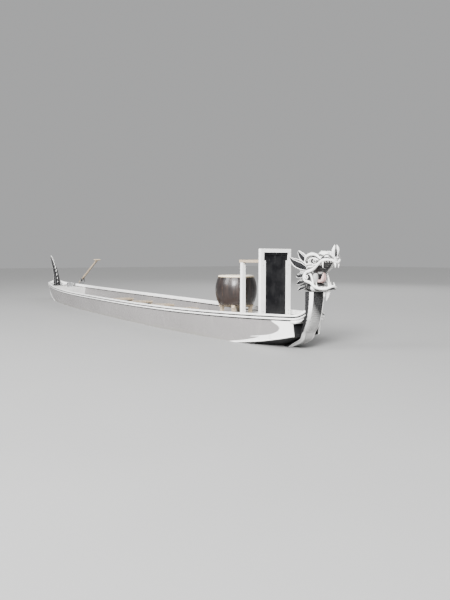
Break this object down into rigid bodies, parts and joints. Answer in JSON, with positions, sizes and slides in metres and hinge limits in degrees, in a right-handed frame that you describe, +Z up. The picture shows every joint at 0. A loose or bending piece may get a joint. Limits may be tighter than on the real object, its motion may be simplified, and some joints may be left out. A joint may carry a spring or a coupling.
{
  "type": "dragon boat",
  "caption": "Paddled racing dragon boat afloat, with a carved head and tail, benches, a drummer's seat, a drum and a swivelling steering oar",
  "frame": {"origin": "amidships on the centre line, on the waterline", "axes": "+X forward to the carved head, +Y to port, +Z up"},
  "size_m": [10.1443, 1.126, 1.4386],
  "materials": {
    "hull_paint": "gloss gel coat",
    "underbody_paint": "satin",
    "rail_paint": "satin",
    "deck_paint": "matt, fine non-slip grain",
    "bench_wood": "varnished",
    "dark_panel": "satin black",
    "carving_light": "painted, brushed",
    "carving_dark": "painted, satin",
    "mouth_paint": "painted, satin",
    "drum_lacquer": "lacquered",
    "drum_hide": "stretched hide",
    "fitting_steel": "brushed",
    "blade_paint": "painted, satin"
  },
  "bodies": {
    "boat": {"hull_side_port_bow": "hull_paint", "hull_side_port_middle": "hull_paint", "hull_side_port_stern": "hull_paint", "hull_side_starboard_bow": "hull_paint", "hull_side_starboard_middle": "hull_paint", "hull_side_starboard_stern": "hull_paint", "hull_bottom_bow": "underbody_paint", "hull_bottom_middle": "underbody_paint", "hull_bottom_stern": "underbody_paint", "keel_strip": "underbody_paint", "bow_end_plate": "underbody_paint", "stern_end_plate": "underbody_paint", "gunwale_rail_port_bow": "rail_paint", "gunwale_rail_port_middle": "rail_paint", "gunwale_rail_port_stern": "rail_paint", "gunwale_rail_starboard_bow": "rail_paint", "gunwale_rail_starboard_middle": "rail_paint", "gunwale_rail_starboard_stern": "rail_paint", "seat_post_front_port": "rail_paint", "seat_post_front_starboard": "rail_paint", "seat_post_rear_port": "rail_paint", "seat_post_rear_starboard": "rail_paint", "seat_back_rail": "rail_paint", "bow_deck": "deck_paint", "stern_deck": "deck_paint", "bow_bulkhead": "deck_paint", "stern_bulkhead": "deck_paint", "keelson": "bench_wood", "thwart_1": "bench_wood", "thwart_2": "bench_wood", "thwart_3": "bench_wood", "thwart_4": "bench_wood", "thwart_5": "bench_wood", "foot_rest_1": "bench_wood", "foot_rest_2": "bench_wood", "foot_rest_3": "bench_wood", "foot_rest_4": "bench_wood", "foot_rest_5": "bench_wood", "seat_board": "bench_wood", "drum_stand": "bench_wood", "seat_panel": "dark_panel", "neck": "carving_light", "upper_head": "carving_light", "lower_jaw": "carving_light", "nose_horn": "carving_light", "beard": "carving_light", "tail": "carving_light", "eye_port": "carving_dark", "eye_starboard": "carving_dark", "mane_port": "carving_dark", "mane_starboard": "carving_dark", "tongue": "mouth_paint", "drum_shell": "drum_lacquer", "drum_head": "drum_hide", "steering_arm": "fitting_steel"},
    "oarlock": {"oarlock_fork": "fitting_steel"},
    "oar_saddle_body": {"oar_saddle": "fitting_steel"},
    "steering_oar": {"steering_oar_shaft": "bench_wood", "steering_oar_blade": "blade_paint", "steering_oar_handle": "bench_wood"}
  },
  "joints": [
    {"name": "oar_swing", "type": "hinge", "parent": "boat", "child": "oarlock", "pos_m": [-3.76, 0.44, 0.446], "axis": [0, 0, 1], "range_deg": [-40, 18]},
    {"name": "oar_lift", "type": "hinge", "parent": "oarlock", "child": "oar_saddle_body", "pos_m": [-3.76, 0.44, 0.446], "axis": [0, 1, 0], "range_deg": [-12, 24]},
    {"name": "oar_turn", "type": "hinge", "parent": "oar_saddle_body", "child": "steering_oar", "pos_m": [-3.76, 0.44, 0.446], "axis": [0.9135, 0, 0.4067], "range_deg": [-90, 90]}
  ]
}
